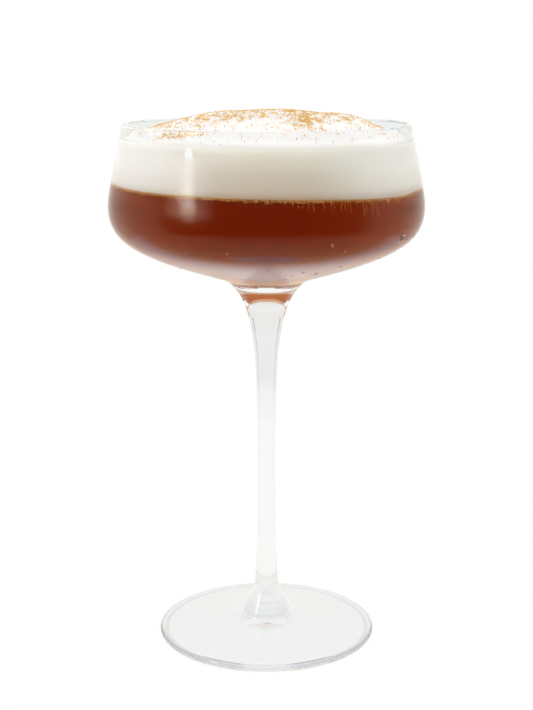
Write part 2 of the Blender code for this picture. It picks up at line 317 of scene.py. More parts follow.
# A narrow tall light to the left: corners as (degrees left of the camera's side, height).
STRIP_DISTANCE = 0.6
STRIP_CORNERS = ((57.4, 0.212), (49.8, 0.221), (63.7, 0.331), (55.2, 0.340))
STRIP_GLOW = (
    (0.0, (7.5, 6.3, 4.8)), (0.1, (8.2, 7.1, 5.6)), (0.27, (10.5, 9.8, 8.3)),
    (0.45, (12.0, 11.4, 9.8)), (0.57, (10.5, 10.8, 10.2)), (0.66, (6.0, 6.4, 6.8)),
    (0.74, (3.7, 3.9, 4.2)), (0.86, (3.3, 3.8, 4.8)), (0.93, (4.4, 5.4, 6.8)),
    (1.0, (4.4, 5.4, 6.8)),
)
STRIP_ROUNDING = 0.028
# The lower end of that light.
STRIP_END_CORNERS = ((57.2, 0.03), (49.6, 0.039), (57.4, 0.212), (49.8, 0.221))
STRIP_END_GLOW = (
    (0.0, (0.6, 0.4, 0.25)), (0.3, (2.2, 1.6, 1.1)), (0.5, (3.4, 2.5, 1.8)),
    (0.8, (4.4, 3.3, 2.5)), (1.0, (7.0, 5.8, 4.4)),
)
# The dim halo round both.
HALO_DISTANCE = 0.72
HALO_CORNERS = ((76.0, -0.08), (36.0, -0.08), (78.0, 0.33), (38.0, 0.33))
HALO_GLOW = (
    (0.0, 0.0), (0.3, (0.3, 0.2, 0.1)), (0.5, (0.9, 0.75, 0.5)), (0.7, (2.6, 2.0, 1.4)),
    (0.85, (3.9, 2.9, 2.1)), (0.93, (4.0, 3.0, 2.1)), (1.0, 0.0),
)
HALO_ACROSS = ((0.0, 0.0), (0.2, 0.5), (0.45, 1.0), (0.65, 0.75), (0.85, 0.45), (1.0, 0.1))
# Two grey cards behind the stem: their distance, angles from straight behind, heights and levels.
FLAG_DISTANCE = 0.09
FLAG_ANGLES = (33.0, 41.0)
FLAG_HEIGHTS = (0.0, 0.125)
FLAG_GLOW = ((0.0, 0.84), (0.4, 0.82), (0.47, 0.78), (0.52, 0.7), (0.85, 0.6), (1.0, 0.5))
FLAG_ACROSS = ((0.0, 1.2), (0.35, 1.0), (0.65, 1.0), (1.0, 1.2))


class CocktailSizes(bpy.types.PropertyGroup):
    """What a user would change on the cocktail"""

    turn_steps: IntProperty(
        name="Steps round", description="Faces round every turned piece", default=256, min=24
    )
    dust_grains: IntProperty(
        name="Dust grains", description="Fine cinnamon grains per square metre where it lies thickest",
        default=18000000, min=0,
    )
    mist: FloatProperty(
        name="Mist", description="How strongly the mist on the glass scatters light",
        default=0.22, min=0.0, max=1.0, subtype="FACTOR",
    )
    drink_clearness: FloatProperty(
        name="Drink absorption", description="How strongly the drink absorbs light, per metre",
        default=90.0, min=0.0,
    )
    drink_colour: FloatVectorProperty(
        name="Drink colour", description="Tint of light that has passed through the drink",
        default=(0.79, 0.47, 0.12), subtype="COLOR", min=0.0, max=1.0,
    )
    foam_colour: FloatVectorProperty(
        name="Foam colour", description="Colour of the clean foam",
        default=(0.93, 0.915, 0.885), subtype="COLOR", min=0.0, max=1.0,
    )
    stained_foam_colour: FloatVectorProperty(
        name="Stained foam colour", description="Colour of the foam next to the drink",
        default=(0.67, 0.54, 0.42), subtype="COLOR", min=0.0, max=1.0,
    )
    run_colour: FloatVectorProperty(
        name="Foam run colour", description="Colour of the foam that hangs into the drink",
        default=(0.54, 0.285, 0.08), subtype="COLOR", min=0.0, max=1.0,
    )
    cinnamon_colour: FloatVectorProperty(
        name="Cinnamon colour", description="Middle colour of the ground cinnamon",
        default=(0.8, 0.5, 0.155), subtype="COLOR", min=0.0, max=1.0,
    )


def bezier(points, count):
    """The points of a cubic Bezier after its first one."""
    a, b, c, d = (Vector(p) for p in points)
    result = []
    for step in range(1, count + 1):
        t = step / count
        s = 1.0 - t
        result.append(a * s**3 + b * (3 * s * s * t) + c * (3 * s * t * t) + d * t**3)
    return result


def arc(centre, radius, start, end, count):
    """The points of an arc after its first one, with its angles in degrees."""
    result = []
    for step in range(1, count + 1):
        angle = math.radians(start + (end - start) * step / count)
        result.append(Vector(centre) + radius * Vector((math.cos(angle), math.sin(angle))))
    return result


def curve_chain(curves):
    """The points of Bezier curves that follow each other."""
    points = [Vector(curves[0][0][0])]
    for corners, count in curves:
        points += bezier(corners, count)
    return points


INNER_WALL = curve_chain(INNER_CURVES)
OUTER_WALL = curve_chain(OUTER_CURVES)


def moved_wall(wall, distance):
    """A wall's points moved away from the axis side by this distance, in millimetres."""
    moved = []
    for index, point in enumerate(wall):
        before = wall[max(index - 1, 0)]
        after = wall[min(index + 1, len(wall) - 1)]
        along = (after - before).normalized()
        moved.append(point + Vector((-along.y, along.x)) * distance)
    moved[-1].x = max(moved[-1].x, 0.0) if distance < 0 else 0.0
    return moved


def radius_at(wall, height):
    """The radius of a wall where it first reaches down to this height."""
    for upper, lower in zip(wall, wall[1:]):
        if lower.y <= height <= upper.y:
            share = (height - lower.y) / max(upper.y - lower.y, 1e-9)
            return lower.x + (upper.x - lower.x) * share
    return 0.0


def line_height(x, y):
    """The height of the line between drink and foam."""
    sink = LINE_SINK * (max(x, 0.0) / LINE_REACH) ** 2
    wave = LINE_WAVE * math.sin(5.0 * math.atan2(y, x) + 0.8) * math.hypot(x, y) / LINE_REACH
    lift = 0.0
    for (before, low), (after, high) in zip(LINE_LIFTS, LINE_LIFTS[1:]):
        if before <= x <= after:
            lift = low + (high - low) * (x - before) / (after - before)
    return LINE_HEIGHT - sink + wave + lift


def foam_height(x, y):
    """The height of the foam's top, lumps included."""
    distance = min(math.hypot(x, y) / FOAM_EDGE_RADIUS, 1.0)
    height = FOAM_EDGE_HEIGHT - FOAM_EDGE_TILT * x / FOAM_EDGE_RADIUS
    height += FOAM_RISE * (1.0 - distance**2)
    fade = 1.0 - distance**4
    for lump_x, lump_y, radius, rise in FOAM_LUMPS:
        away = ((x - lump_x) ** 2 + (y - lump_y) ** 2) / radius**2
        height += rise * fade * math.exp(-away)
    from_wall = (1.0 - distance) * FOAM_EDGE_RADIUS
    return height - FOAM_SHOULDER * math.exp(-from_wall / FOAM_SHOULDER_WIDTH)


def patch_density(patches, x, y):
    """How thickly the cinnamon of these patches lies at a spot, from 0 to 1."""
    density = 0.0
    for patch_x, patch_y, radius_x, radius_y, share in patches:
        away = ((x - patch_x) / radius_x) ** 2 + ((y - patch_y) / radius_y) ** 2
        density += share * math.exp(-away)
    return min(density, 1.0)


def dust_thickness(x, y):
    """How much cinnamon lies at a spot: its density, broken up into clumps and bare spots."""
    spot = Vector((x, 0.35 * y, 0.0))
    clump = 0.3 + 1.8 * noise.noise(spot * 0.45) + 1.7 * noise.noise(spot * 1.3)
    broken = patch_density(DUST_PATCHES, x, y) * max(0.03, min(clump, 1.7))
    return broken + patch_density(DUST_STREAKS, x, y) * (0.8 + noise.noise(spot * 1.3))


def powder_cover(place):
    """How much of the foam the finest powder covers at a place."""
    if place.z <= FOAM_EDGE_HEIGHT - 1.0:
        return 0.0
    even = patch_density(DUST_PATCHES, place.x, place.y)
    return min(0.3 * even + 0.7 * dust_thickness(place.x, place.y), POWDER_LIMIT)


def at_angle(angle, radius, height=0.0):
    """The point at this angle, radius and height."""
    return Vector((radius * math.cos(angle), radius * math.sin(angle), height))


def pull_to_wall(place, wall, beyond):
    """Moves a place beyond this radius to the wall at its height."""
    radius = math.hypot(place.x, place.y)
    if radius > beyond:
        scale = radius_at(wall, place.z) / radius
        place.x *= scale
        place.y *= scale


def deselect_all():
    """Leaves nothing selected and nothing active."""
    if bpy.context.object and bpy.context.object.mode != "OBJECT":
        bpy.ops.object.mode_set(mode="OBJECT")
    bpy.ops.object.select_all(action="DESELECT")


def select_only(piece):
    """Selects this piece alone and makes it active."""
    deselect_all()
    piece.select_set(True)
    bpy.context.view_layer.objects.active = piece


def edit_parts(parts, wanted):
    """Enters edit mode with only the wanted faces or vertices selected."""
    bpy.ops.object.mode_set(mode="EDIT")
    bpy.ops.mesh.select_all(action="DESELECT")
    bpy.ops.object.mode_set(mode="OBJECT")
    for part in parts:
        part.select = wanted(part)
    bpy.ops.object.mode_set(mode="EDIT")


def turned_piece(name, profile, steps):
    """Extrudes a point along the profile and spins it round Z into a closed piece."""
    deselect_all()
    start = Vector((profile[0].x, 0.0, profile[0].y)) * MM
    bpy.ops.mesh.primitive_plane_add(size=MM, location=start)
    piece = bpy.context.object
    piece.name = name
    bpy.ops.object.transform_apply(location=True)
    bpy.ops.object.mode_set(mode="EDIT")
    bpy.ops.mesh.select_all(action="SELECT")
    bpy.ops.mesh.merge(type="CENTER")
    for before, after in zip(profile, profile[1:]):
        step = Vector((after.x - before.x, 0.0, after.y - before.y)) * MM
        bpy.ops.mesh.extrude_region_move(TRANSFORM_OT_translate={"value": step})
    bpy.ops.mesh.select_all(action="SELECT")
    bpy.ops.mesh.spin(
        steps=steps, angle=2.0 * math.pi, use_auto_merge=True, center=(0, 0, 0), axis=(0, 0, 1)
    )
    bpy.ops.mesh.select_all(action="SELECT")
    bpy.ops.mesh.remove_doubles(threshold=0.000001)
    bpy.ops.mesh.normals_make_consistent(inside=False)
    bpy.ops.object.mode_set(mode="OBJECT")
    bpy.ops.object.shade_smooth()
    return piece


def store_values(mesh, name, value_at):
    """Stores a value at every vertex, worked out from its place in millimetres."""
    entries = mesh.attributes.new(name, "FLOAT", "POINT").data
    for vertex, entry in zip(mesh.vertices, entries):
        entry.value = value_at(vertex.co / MM)


def finish_piece(piece, node, slot, *materials):
    """Gives a piece its materials and its body, and hides the CAD part that it stands in for."""
    for material in materials:
        piece.data.materials.append(material)
    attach(piece, "root")
    if node:
        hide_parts(node)


def set_inputs(tree, node, inputs):
    """Sets a node's inputs: a socket is joined, and anything else is a plain value."""
    for name, value in inputs.items():
        if isinstance(value, bpy.types.NodeSocket):
            tree.links.new(value, node.inputs[name])
        else:
            node.inputs[name].default_value = value


def add_node(tree, kind, inputs=None, **settings):
    """Adds a node with its settings and then its inputs."""
    node = tree.nodes.new(kind)
    for name, value in settings.items():
        setattr(node, name, value)
    set_inputs(tree, node, inputs or {})
    return node


def noise_group():
    """A shared node group: noise in object space, spread between two values."""
    name = "uneven_mask"
    if name in bpy.data.node_groups:
        return bpy.data.node_groups[name]
    group = bpy.data.node_groups.new(name, "ShaderNodeTree")
    face = group.interface
    for label, value in (("Scale", 500.0), ("Detail", 3.0), ("Low", 0.4), ("High", 0.6)):
        socket = face.new_socket(label, in_out="INPUT", socket_type="NodeSocketFloat")
        socket.default_value = value
    face.new_socket("Mask", in_out="OUTPUT", socket_type="NodeSocketFloat")
    given = group.nodes.new("NodeGroupInput").outputs
    place = add_node(group, "ShaderNodeTexCoord").outputs["Object"]
    cloud = add_node(group, "ShaderNodeTexNoise", {
        "Vector": place, "Scale": given["Scale"], "Detail": given["Detail"],
    })
    spread = add_node(group, "ShaderNodeMapRange", {
        "Value": cloud.outputs["Fac"], "From Min": given["Low"], "From Max": given["High"],
    })
    add_node(group, "NodeGroupOutput", {"Mask": spread.outputs["Result"]})
    return group


def add_mask(tree, scale, detail, low, high):
    """Places the shared noise group with its own values and gives its mask."""
    values = {"Scale": scale, "Detail": detail, "Low": low, "High": high}
    return add_node(tree, "ShaderNodeGroup", values, node_tree=noise_group()).outputs["Mask"]


def calculate(tree, operation, first, second=0.5):
    """The result of a sum on one number or two."""
    return add_node(tree, "ShaderNodeMath", {0: first, 1: second}, operation=operation).outputs[0]


def combine(tree, operation, first, second=(0.0, 0.0, 0.0)):
    """The sum, product, dot product or length of colours or directions."""
    node = add_node(tree, "ShaderNodeVectorMath", {0: first, 1: second}, operation=operation)
    return node.outputs["Value" if operation in ("DOT_PRODUCT", "LENGTH") else "Vector"]


def mix_colours(tree, factor, first, second):
    """A colour mix driven by a mask."""
    inputs = {"Factor": factor}
    for index, colour in ((6, first), (7, second)):
        inputs[index] = colour if isinstance(colour, bpy.types.NodeSocket) else (*colour, 1.0)
    return add_node(tree, "ShaderNodeMix", inputs, data_type="RGBA").outputs[2]


def ramp_colours(tree, value, stops, low=-1.0, high=1.0):
    """A ramp of levels or colours over a value that runs from low to high."""
    scale = add_node(tree, "ShaderNodeMapRange", {"Value": value, "From Min": low, "From Max": high})
    ramp = add_node(tree, "ShaderNodeValToRGB", {"Fac": scale.outputs["Result"]})
    elements = ramp.color_ramp.elements
    elements.remove(elements[1])
    for index, (position, level) in enumerate(stops):
        stop = elements.new(position) if index else elements[0]
        stop.position = position
        stop.color = (*(level if isinstance(level, tuple) else [level] * 3), 1.0)
    return ramp.outputs["Color"]


def place_parts(tree, output="Object"):
    """The place of a spot, whole and as its x, y and z."""
    place = add_node(tree, "ShaderNodeTexCoord").outputs[output]
    return place, add_node(tree, "ShaderNodeSeparateXYZ", {"Vector": place}).outputs


def stored_value(tree, name):
    """A value that is stored on the mesh."""
    return add_node(tree, "ShaderNodeAttribute", attribute_name=name).outputs["Fac"]


def new_material(name, colour, roughness, inputs=None):
    """A Principled material, its node tree and its shader, with these plain inputs."""
    material = bpy.data.materials.new(name)
    material.use_nodes = True
    material.diffuse_color = (*colour, 1.0)
    tree = material.node_tree
    shader = tree.nodes["Principled BSDF"]
    set_inputs(tree, shader, {"Base Color": (*colour, 1.0), "Roughness": roughness, **(inputs or {})})
    return material, tree, shader


def add_bump(tree, shader, height, distance, strength):
    """Joins a height to the shader's normal."""
    values = {"Height": height, "Distance": distance, "Strength": strength}
    bump = add_node(tree, "ShaderNodeBump", values)
    set_inputs(tree, shader, {"Normal": bump.outputs["Normal"]})


def glass_material(name, colour, bending, wave_scale=60.0, wave_strength=0.05):
    """Clear glass or water with the faintest waves."""
    plain = {"Transmission Weight": 1.0, "IOR": bending}
    material, tree, shader = new_material(name, colour, 0.0, plain)
    add_bump(tree, shader, add_mask(tree, wave_scale, 1.0, 0.3, 0.7), 0.00005, wave_strength)
    return material


def misted_glass_material(mist):
    """The outside of the cold bowl: fine even mist, thick and frosted on its underside, with a painted glow
    from the frost.
    """
    plain = {"Transmission Weight": 1.0, "IOR": GLASS_IOR, "Emission Strength": 1.0}
    material, tree, shader = new_material("misted_glass", GLASS_TINT, 0.0, plain)
    height = place_parts(tree)[1]["Z"]
    frost = ramp_colours(tree, height, FROST, *FROST_RANGE)
    film = combine(tree, "MULTIPLY", frost, add_mask(tree, 160.0, 3.0, -0.4, 0.6))
    # The emission is painted light: the frost's glow.
    set_inputs(tree, shader, {
        "Roughness": calculate(tree, "MULTIPLY", film, mist),
        "Emission Color": ramp_colours(tree, height, FROST_PAINTED_GLOW, *FROST_PAINTED_GLOW_RANGE),
    })
    add_bump(tree, shader, add_mask(tree, 2200.0, 2.0, 0.3, 0.7), 0.000014, 1.0)
    return material


def drink_material(colour, absorption):
    """A clear dark liquid that colours light by the way it has come.

    The wetted glass around it does the bending, so the liquid itself bends nothing.
    """
    plain = {"Transmission Weight": 1.0, "IOR": 1.0}
    material, tree, shader = new_material("dark_drink", (1.0, 1.0, 1.0), 0.0, plain)
    values = {"Color": (*colour, 1.0), "Density": absorption}
    absorb = add_node(tree, "ShaderNodeVolumeAbsorption", values)
    set_inputs(tree, tree.nodes["Material Output"], {"Volume": absorb.outputs["Volume"]})
    return material


def foam_material(clean, stained):
    """Dense fine foam, stained where it meets the drink and tinted by the finest powder, with painted light
    and shade on its side and a painted glow along the edge of its top.
    """
    material, tree, shader = new_material("white_foam", clean, 0.75, {
        "Subsurface Weight": 0.6,
        "Subsurface Radius": (1.0, 0.8, 0.6),
        "Subsurface Scale": 0.004,
        "Specular IOR Level": 0.15,
        "Emission Strength": 1.0,
    })
    above = stored_value(tree, "above_line")
    x, y, z = place_parts(tree)[1]
    # Painted light and shade: the side is lighter towards its left and right ends and darker lower down in
    # the middle.
    aside = ramp_colours(tree, calculate(tree, "ABSOLUTE", x), FOAM_SIDE_LIGHT_SHARE, 0.0, 0.05)
    middle = ((0.0, tuple(stained)), *FOAM_STAIN_AND_SHADE, (1.0, tuple(clean)))
    ends = (*FOAM_SIDE_STAIN_AND_LIGHT, (1.0, tuple(clean)))
    middle, ends = (ramp_colours(tree, above, stain_and_shading, 0.0, FOAM_SIDE_HEIGHT) for stain_and_shading in (middle, ends))
    low, high = LINE_STAIN_RANGE
    edge = add_node(tree, "ShaderNodeMapRange", {"Value": above, "From Min": low, "From Max": high})
    stain_and_shading = mix_colours(tree, aside, middle, ends)
    stain_and_shading = mix_colours(tree, edge.outputs["Result"], LINE_STAIN, stain_and_shading)
    specks = add_mask(tree, 1900.0, 2.0, 0.3, 0.65)
    cover = calculate(tree, "MULTIPLY", stored_value(tree, "powder"), specks)
    # The emission is painted light: a glow along the thin edge of the top.
    set_inputs(tree, shader, {
        "Base Color": mix_colours(tree, cover, stain_and_shading, POWDER_COLOUR),
        "Emission Color": ramp_colours(tree, z, FOAM_EDGE_PAINTED_GLOW, *FOAM_EDGE_PAINTED_GLOW_RANGE),
    })
    add_bump(tree, shader, add_mask(tree, 2600.0, 2.0, 0.35, 0.65), 0.00008, 0.35)
    return material


def foam_underside_material(stained):
    """The underside of the foam, with a painted glow in place of the light that falls through the head."""
    plain = {"Specular IOR Level": 0.0, "Emission Strength": 0.65}
    material, tree, shader = new_material("foam_underside_painted_glow", stained, 0.8, plain)
    pale = tuple(0.5 + 0.5 * c for c in stained)
    glow = mix_colours(tree, add_mask(tree, 300.0, 3.0, 0.35, 0.65), stained, pale)
    set_inputs(tree, shader, {"Emission Color": glow})
    return material


def run_material(colour):
    """Foam that hangs into the drink and is coloured by it."""
    material, tree, shader = new_material("stained_runs", colour, 0.7, {"Specular IOR Level": 0.1})
    pale = tuple(min(1.0, 1.35 * c + 0.03) for c in colour)
    tint = mix_colours(tree, add_mask(tree, 1400.0, 2.0, 0.35, 0.65), colour, pale)
    set_inputs(tree, shader, {"Base Color": tint})
    return material


def cinnamon_material(colour):
    """Ground cinnamon, each grain lighter or darker than the next."""
    material, tree, shader = new_material("ground_cinnamon", colour, 0.85, {"Specular IOR Level": 0.1})
    light = tuple(min(1.0, c * 1.15 + 0.04) for c in colour)
    dark = tuple(c * 0.68 for c in colour)
    tint = mix_colours(tree, stored_value(tree, "grain_shade"), light, dark)
    crumbs = add_mask(tree, 5000.0, 2.0, 0.3, 0.7)
    set_inputs(tree, shader, {"Base Color": mix_colours(tree, crumbs, tint, colour)})
    add_bump(tree, shader, crumbs, 0.00005, 0.6)
    return material


class COCKTAIL_OT_glass(bpy.types.Operator):
    """Turns the glass in one piece: lip, bowl, drawn stem, collar and foot"""

    bl_idname = "cocktail.glass"
    bl_label = "Coupe glass"

    def execute(self, context):
        sizes = context.scene.cocktail_sizes
        profile = list(reversed(INNER_WALL))
        profile += arc((RIM_MID_RADIUS, RIM_HEIGHT), LIP_RADIUS, 180.0, 0.0, 20)[:-1]
        profile += OUTER_WALL
        profile += arc((FOOT_EDGE_CENTRE, FOOT_EDGE_RADIUS), FOOT_EDGE_RADIUS, 90.0, -90.0, 12)
        profile += curve_chain(FOOT_UNDERSIDE)
        glass = turned_piece("coupe_glass", profile, sizes.turn_steps)
        finish_piece(
            glass, "glass", "clear_glass",
            glass_material("clear_glass", GLASS_TINT, GLASS_IOR),
            misted_glass_material(sizes.mist),
            glass_material("wetted_glass", (1.0, 1.0, 1.0), GLASS_IOR / DRINK_IOR),
            # The foot's rounded edge is tinted darker and bluer: painted shade.
            glass_material("foot_edge_shaded_glass", (0.86, 0.86, 0.9), GLASS_IOR),
            # The lip is tinted a little grey and blue: painted shade.
            glass_material("lip_shaded_glass", (0.94, 0.95, 0.96), LIP_IOR),
        )
        for face in glass.data.polygons:
            centre = face.center / MM
            radius = math.hypot(centre.x, centre.y)
            outward = face.normal.x * centre.x + face.normal.y * centre.y > 0.0
            wet = WETTED_HEIGHTS[0] < centre.z < WETTED_HEIGHTS[1] and radius < WETTED_RADIUS
            if outward and MIST_HEIGHTS[0] < centre.z < MIST_HEIGHTS[1]:
                face.material_index = 1
            elif not outward and wet and face.normal.z > -0.5:
                face.material_index = 2
            elif outward and radius > FOOT_EDGE_CENTRE and centre.z < 2.0 * FOOT_EDGE_RADIUS:
                face.material_index = 3
            elif centre.z > RIM_HEIGHT:
                face.material_index = 4
        return {"FINISHED"}


class COCKTAIL_OT_drink(bpy.types.Operator):
    """Fills the bowl with drink up to the foam's line, just into the wall"""

    bl_idname = "cocktail.drink"
    bl_label = "Drink"

    def execute(self, context):
        sizes = context.scene.cocktail_sizes
        wall = moved_wall(INNER_WALL, DRINK_INTO_WALL)
        profile = [Vector((radius, LINE_HEIGHT)) for radius in LINE_RINGS]
        profile.append(Vector((radius_at(wall, LINE_HEIGHT), LINE_HEIGHT)))
        profile += [point for point in wall if point.y < LINE_HEIGHT - LINE_SINK - LINE_GAP]
        drink = turned_piece("drink_body", profile, sizes.turn_steps)
        for vertex in drink.data.vertices:
            place = vertex.co / MM
            if abs(place.z - LINE_HEIGHT) < 0.01:
                place.z = line_height(place.x, place.y)
                pull_to_wall(place, wall, WALL_RING)
                vertex.co = place * MM
        finish_piece(
            drink, "drink", "dark_drink", drink_material(sizes.drink_colour, sizes.drink_clearness)
        )
        return {"FINISHED"}


class COCKTAIL_OT_foam(bpy.types.Operator):
    """Turns the foam head, then lifts its lumps and its line"""

    bl_idname = "cocktail.foam"
    bl_label = "Foam head"

    def execute(self, context):
        sizes = context.scene.cocktail_sizes
        wall = moved_wall(INNER_WALL, FOAM_INTO_WALL)
        line = LINE_HEIGHT - FOAM_INTO_DRINK
        edge_radius = radius_at(wall, FOAM_EDGE_HEIGHT)
        profile = []
        for ring in range(FOAM_TOP_RINGS + 1):
            profile.append(Vector((edge_radius * ring / FOAM_TOP_RINGS, FOAM_EDGE_HEIGHT)))
        profile += [p for p in wall if line + LINE_SINK < p.y < FOAM_EDGE_HEIGHT - EDGE_GAP]
        profile.append(Vector((radius_at(wall, line), line)))
        profile += [Vector((radius, line)) for radius in reversed(LINE_RINGS)]
        foam = turned_piece("foam_head", profile, sizes.turn_steps)
        for vertex in foam.data.vertices:
            place = vertex.co / MM
            if abs(place.z - FOAM_EDGE_HEIGHT) < 0.01:
                place.z = foam_height(place.x, place.y)
                pull_to_wall(place, wall, edge_radius - 0.01)
            elif abs(place.z - line) < 0.01:
                place.z = line_height(place.x, place.y) - FOAM_INTO_DRINK
                pull_to_wall(place, wall, WALL_RING)
            vertex.co = place * MM
        store_values(foam.data, "above_line", lambda place: place.z - line_height(place.x, place.y))
        store_values(foam.data, "powder", powder_cover)
        finish_piece(
            foam, "foam", "white_foam",
            foam_material(sizes.foam_colour, sizes.stained_foam_colour),
            foam_underside_material(sizes.stained_foam_colour),
        )
        for face in foam.data.polygons:
            if face.normal.z < -0.7:
                face.material_index = 1
        return {"FINISHED"}


def single_grain(fine=False):
    """One rough flattened grain of unit radius, to be copied. A fine one has only eight faces."""
    deselect_all()
    if fine:
        bpy.ops.mesh.primitive_uv_sphere_add(
            segments=4, ring_count=2, radius=1.0, location=(0.0, 0.0, 0.0)
        )
    else:
        bpy.ops.mesh.primitive_ico_sphere_add(subdivisions=1, radius=1.0, location=(0.0, 0.0, 0.0))
    grain = bpy.context.object
    chance = random.Random(GRAIN_SEED)
    for vertex in grain.data.vertices:
        vertex.co *= chance.uniform(*GRAIN_UNEVENNESS)
    bpy.ops.object.mode_set(mode="EDIT")
    bpy.ops.mesh.select_all(action="SELECT")
    bpy.ops.transform.resize(value=(1.0, 1.0, GRAIN_FLATNESS))
    bpy.ops.object.mode_set(mode="OBJECT")
    return grain


def joined_piece(name, meshes):
    """Joins meshes into one piece."""
    deselect_all()
    for mesh in meshes:
        part = bpy.data.objects.new(name, mesh)
        bpy.context.scene.collection.objects.link(part)
        part.select_set(True)
        bpy.context.view_layer.objects.active = part
    bpy.ops.object.join()
    piece = bpy.context.object
    piece.name = name
    return piece


def copied_piece(name, source, places):
    """Copies a piece to each matrix, joins the copies and removes the source."""
    meshes = []
    for place in places:
        mesh = source.data.copy()
        mesh.transform(place)
        meshes.append(mesh)
    bpy.data.objects.remove(source)
    return joined_piece(name, meshes)


def shade_grains(piece, faces_each, seed):
    """Gives every grain of a joined piece its own shade from 0 to 1."""
    chance = random.Random(seed)
    shade = piece.data.attributes.new("grain_shade", "FLOAT", "FACE")
    value = 0.0
    for index, entry in enumerate(shade.data):
        if index % faces_each == 0:
            value = chance.random()
        entry.value = value


class COCKTAIL_OT_cinnamon(bpy.types.Operator):
    """Shakes ground cinnamon over the foam: the large grains, then the fine dust"""

    bl_idname = "cocktail.cinnamon"
    bl_label = "Ground cinnamon"

    def execute(self, context):
        sizes = context.scene.cocktail_sizes
        material = cinnamon_material(sizes.cinnamon_colour)
        chance = random.Random(GRAIN_SEED)
        spots = []
        while len(spots) < GRAIN_COUNT:
            x = chance.uniform(-GRAIN_LIMIT_RADIUS, GRAIN_LIMIT_RADIUS)
            y = chance.uniform(-GRAIN_LIMIT_RADIUS, GRAIN_LIMIT_RADIUS)
            if math.hypot(x, y) > GRAIN_LIMIT_RADIUS:
                continue
            if chance.random() > patch_density(GRAIN_PATCHES, x, y):
                continue
            if all(math.hypot(x - a, y - b) > GRAIN_SPACING for a, b in spots):
                spots.append((x, y))
        places = []
        for x, y in spots:
            radius = chance.uniform(*GRAIN_RADIUS)
            drawn_out = radius * chance.uniform(*GRAIN_STRETCH)
            size = Vector((drawn_out, radius, radius)) * GRAIN_SHARE * MM
            tilts = [chance.uniform(-GRAIN_TILT, GRAIN_TILT) for axis in "xy"]
            turn = Euler((*tilts, chance.uniform(0.0, GRAIN_TURN)))
            places.append(Matrix.LocRotScale(Vector((x, y, foam_height(x, y))) * MM, turn, size))
        large = copied_piece("cinnamon_large", single_grain(), places)
        shade_grains(large, GRAIN_FACES, GRAIN_SHADE_SEED)
        finish_piece(large, None, "ground_cinnamon", material)
        add_dust(sizes, material)
        return {"FINISHED"}


def faces_in_order(mesh):
    """The same mesh with its faces in one fixed order, so that a scatter is the same in each run."""
    faces = []
    for face in mesh.polygons:
        corners = list(face.vertices)
        first = corners.index(min(corners))
        faces.append(corners[first:] + corners[:first])
    ordered = bpy.data.meshes.new(mesh.name)
    ordered.from_pydata([tuple(vertex.co) for vertex in mesh.vertices], [], sorted(faces))
    return ordered


def scatter_group(grain, grains_per_area):
    """Geometry nodes that scatter a grain over a mesh by its thickness, as real geometry."""
    group = bpy.data.node_groups.new("scatter_grains", "GeometryNodeTree")
    for way in ("INPUT", "OUTPUT"):
        group.interface.new_socket("Geometry", in_out=way, socket_type="NodeSocketGeometry")
    given = add_node(group, "NodeGroupInput").outputs["Geometry"]
    thickness = add_node(group, "GeometryNodeInputNamedAttribute", {"Name": "thickness"}, data_type="FLOAT")
    density = calculate(group, "MULTIPLY", thickness.outputs["Attribute"], grains_per_area)
    spread = add_node(group, "GeometryNodeDistributePointsOnFaces", {
        "Mesh": given, "Density": density, "Seed": DUST_SEED,
    })
    size = add_node(group, "FunctionNodeRandomValue", data_type="FLOAT")
    small = calculate(group, "POWER", size.outputs[1], DUST_SMALLNESS)
    reach = add_node(group, "ShaderNodeMapRange", {
        "Value": small, "To Min": DUST_RADIUS[0] * MM, "To Max": DUST_RADIUS[1] * MM,
    })
    turn = add_node(group, "FunctionNodeRandomValue", {"Max": [DUST_TURN] * 3}, data_type="FLOAT_VECTOR")
    source = add_node(group, "GeometryNodeObjectInfo", {"Object": grain})
    copies = add_node(group, "GeometryNodeInstanceOnPoints", {
        "Points": spread.outputs["Points"], "Instance": source.outputs["Geometry"],
        "Rotation": turn.outputs["Value"], "Scale": reach.outputs["Result"],
    })
    shade = add_node(group, "FunctionNodeRandomValue", {"Seed": DUST_SHADE_SEED}, data_type="FLOAT")
    store = add_node(group, "GeometryNodeStoreNamedAttribute", {
        "Geometry": copies.outputs["Instances"], "Name": "grain_shade", "Value": shade.outputs[1],
    }, data_type="FLOAT", domain="INSTANCE")
    real = add_node(group, "GeometryNodeRealizeInstances", {"Geometry": store.outputs["Geometry"]})
    add_node(group, "NodeGroupOutput", {"Geometry": real.outputs["Geometry"]})
    return group


def bare_of_dust(face):
    """Whether no dust lies on a face of the foam: it is steep or too far out."""
    radius = math.hypot(face.center.x, face.center.y) / MM
    return face.normal.z < 0.3 or radius > DUST_REACH


def add_dust(sizes, material):
    """Scatters fine grains over the foam's top, as one real mesh."""
    deselect_all()
    top = bpy.data.objects.new("cinnamon_dust", bpy.data.objects["foam_head"].data.copy())
    bpy.context.scene.collection.objects.link(top)
    select_only(top)
    edit_parts(top.data.polygons, bare_of_dust)
    bpy.ops.mesh.delete(type="FACE")
    bpy.ops.object.mode_set(mode="OBJECT")
    top.data = faces_in_order(top.data)
    store_values(top.data, "thickness", lambda place: dust_thickness(place.x, place.y))
    grain = single_grain(fine=True)
    scatter = top.modifiers.new("scatter", "NODES")
    scatter.node_group = scatter_group(grain, sizes.dust_grains)
    select_only(top)
    bpy.ops.object.modifier_apply(modifier="scatter")
    bpy.data.objects.remove(grain)
    top.data.materials.clear()
    finish_piece(top, None, "ground_cinnamon", material)


